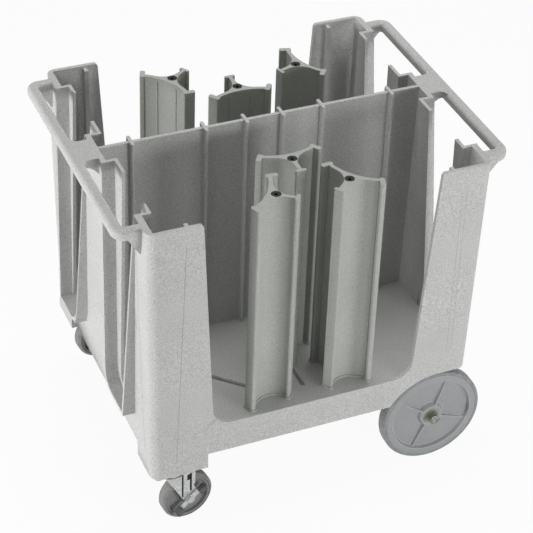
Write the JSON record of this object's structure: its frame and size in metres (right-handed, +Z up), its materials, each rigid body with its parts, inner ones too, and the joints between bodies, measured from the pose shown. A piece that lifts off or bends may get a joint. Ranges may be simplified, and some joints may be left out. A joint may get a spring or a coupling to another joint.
{
  "type": "dish caddy",
  "caption": "Moulded dish caddy cart with a divider, sliding stack towers, push handles, brake casters at one end and large wheels at the other.",
  "frame": {"origin": "floor level under the middle of the body", "axes": "+X from the caster end to the large-wheel end, -Y towards the near long side, +Z up"},
  "size_m": [0.922, 0.719, 0.845],
  "materials": {
    "body": "speckled grey rotationally moulded polyethylene, fine matt grain",
    "tower": "speckled grey moulded plastic, matt",
    "rod": "black steel bolt",
    "zinc": "zinc plated pressed steel",
    "chrome": "bright plated steel",
    "rear_wheel": "grey moulded wheel",
    "rear_tyre": "grey non-marking tread",
    "caster_wheel": "grey moulded wheel",
    "caster_tyre": "dark grey non-marking tread",
    "rubber": "dark rubber"
  },
  "bodies": {
    "root": {"axle_bracket_bolts": "zinc", "axle_brackets": "zinc", "cap_nuts": "chrome", "caster_housing_far": "body", "caster_housing_near": "body", "caster_plate_bolts": "zinc", "caster_top_plates": "zinc", "corner_post_far_left": "body", "corner_post_far_right": "body", "corner_post_near_left": "body", "corner_post_near_right": "body", "deck": "body", "divider": "body", "divider_ribs": "body", "end_column_left": "body", "end_column_right": "body", "end_rail_left": "body", "end_rail_right": "body", "handle_left": "body", "handle_right": "body", "rear_axle": "zinc", "side_rail_far": "body", "side_rail_near": "body", "wheel_washers": "zinc"},
    "rear_wheel_near": {"rear_wheel_near": "rear_wheel", "rear_tyre_near": "rear_tyre"},
    "caster_swivel_near": {"caster_fork_near": "zinc", "caster_kingpin_near": "zinc", "caster_axle_near": "zinc"},
    "caster_wheel_near": {"caster_wheel_near": "caster_wheel", "caster_tyre_near": "caster_tyre"},
    "brake_near": {"brake_lever_near": "chrome", "brake_pads_near": "rubber"},
    "rear_wheel_far": {"rear_wheel_far": "rear_wheel", "rear_tyre_far": "rear_tyre"},
    "caster_swivel_far": {"caster_fork_far": "zinc", "caster_kingpin_far": "zinc", "caster_axle_far": "zinc"},
    "caster_wheel_far": {"caster_wheel_far": "caster_wheel", "caster_tyre_far": "caster_tyre"},
    "brake_far": {"brake_lever_far": "chrome", "brake_pads_far": "rubber"},
    "carriage_far_left": {"tower_rod_far_left": "rod", "clamp_plate_far_left": "zinc"},
    "tower_far_left": {"tower_far_left": "tower"},
    "carriage_far_middle": {"tower_rod_far_middle": "rod", "clamp_plate_far_middle": "zinc"},
    "tower_far_middle": {"tower_far_middle": "tower"},
    "carriage_far_right": {"tower_rod_far_right": "rod", "clamp_plate_far_right": "zinc"},
    "tower_far_right": {"tower_far_right": "tower"},
    "carriage_near_middle": {"tower_rod_near_middle": "rod", "clamp_plate_near_middle": "zinc"},
    "tower_near_middle": {"tower_near_middle": "tower"},
    "carriage_near_left": {"tower_rod_near_left": "rod", "clamp_plate_near_left": "zinc"},
    "tower_near_left": {"tower_near_left": "tower"},
    "carriage_near_right": {"tower_rod_near_right": "rod", "clamp_plate_near_right": "zinc"},
    "tower_near_right": {"tower_near_right": "tower"}
  },
  "joints": [
    {"name": "rear_wheel_spin_near", "type": "hinge", "parent": "root", "child": "rear_wheel_near", "pos_m": [0.32, -0.3185, 0.127], "axis": [0, 1, 0], "continuous": true},
    {"name": "caster_swivel_near", "type": "hinge", "parent": "root", "child": "caster_swivel_near", "pos_m": [-0.334, -0.314, 0.146], "axis": [0, 0, 1], "continuous": true},
    {"name": "caster_wheel_spin_near", "type": "hinge", "parent": "caster_swivel_near", "child": "caster_wheel_near", "pos_m": [-0.29827, -0.30961, 0.0635], "axis": [-0.1219, 0.9925, 0], "continuous": true},
    {"name": "brake_rock_near", "type": "hinge", "parent": "caster_swivel_near", "child": "brake_near", "pos_m": [-0.29827, -0.30961, 0.0635], "axis": [0.1219, -0.9925, 0], "range_deg": [-22, 0]},
    {"name": "rear_wheel_spin_far", "type": "hinge", "parent": "root", "child": "rear_wheel_far", "pos_m": [0.32, 0.3185, 0.127], "axis": [0, 1, 0], "continuous": true},
    {"name": "caster_swivel_far", "type": "hinge", "parent": "root", "child": "caster_swivel_far", "pos_m": [-0.334, 0.314, 0.146], "axis": [0, 0, 1], "continuous": true},
    {"name": "caster_wheel_spin_far", "type": "hinge", "parent": "caster_swivel_far", "child": "caster_wheel_far", "pos_m": [-0.29827, 0.31839, 0.0635], "axis": [-0.1219, 0.9925, 0], "continuous": true},
    {"name": "brake_rock_far", "type": "hinge", "parent": "caster_swivel_far", "child": "brake_far", "pos_m": [-0.29827, 0.31839, 0.0635], "axis": [0.1219, -0.9925, 0], "range_deg": [-22, 0]},
    {"name": "tower_slide_far_left", "type": "slide", "parent": "root", "child": "carriage_far_left", "axis": [-0.7241, -0.6897, 0], "range_m": [-0.06, 0.0773]},
    {"name": "tower_turn_far_left", "type": "hinge", "parent": "carriage_far_left", "child": "tower_far_left", "pos_m": [-0.12902, 0.24031, 0.8305], "axis": [0, 0, 1], "range_deg": [-25, 60]},
    {"name": "tower_slide_far_middle", "type": "slide", "parent": "root", "child": "carriage_far_middle", "axis": [0, -1, 0], "range_m": [0, 0.061]},
    {"name": "tower_turn_far_middle", "type": "hinge", "parent": "carriage_far_middle", "child": "tower_far_middle", "pos_m": [0, 0.156, 0.8305], "axis": [0, 0, 1], "range_deg": [-10, 24]},
    {"name": "tower_slide_far_right", "type": "slide", "parent": "root", "child": "carriage_far_right", "axis": [0.7241, -0.6897, 0], "range_m": [-0.08, 0.024]},
    {"name": "tower_turn_far_right", "type": "hinge", "parent": "carriage_far_right", "child": "tower_far_right", "pos_m": [0.16762, 0.20355, 0.8305], "axis": [0, 0, 1], "range_deg": [-40, 60]},
    {"name": "tower_slide_near_middle", "type": "slide", "parent": "root", "child": "carriage_near_middle", "axis": [0, 1, 0], "range_m": [0, 0.072]},
    {"name": "tower_turn_near_middle", "type": "hinge", "parent": "carriage_near_middle", "child": "tower_near_middle", "pos_m": [0, -0.167, 0.8305], "axis": [0, 0, 1], "range_deg": [-10, 10]},
    {"name": "tower_slide_near_left", "type": "slide", "parent": "root", "child": "carriage_near_left", "axis": [-0.7241, 0.6897, 0], "range_m": [-0.0083, 0.04]},
    {"name": "tower_turn_near_left", "type": "hinge", "parent": "carriage_near_left", "child": "tower_near_left", "pos_m": [-0.08601, -0.28128, 0.8305], "axis": [0, 0, 1], "range_deg": [-60, 15]},
    {"name": "tower_slide_near_right", "type": "slide", "parent": "root", "child": "carriage_near_right", "axis": [0.7241, 0.6897, 0], "range_m": [-0.0077, 0.04]},
    {"name": "tower_turn_near_right", "type": "hinge", "parent": "carriage_near_right", "child": "tower_near_right", "pos_m": [0.08558, -0.28169, 0.8305], "axis": [0, 0, 1], "range_deg": [-20, 20]}
  ]
}
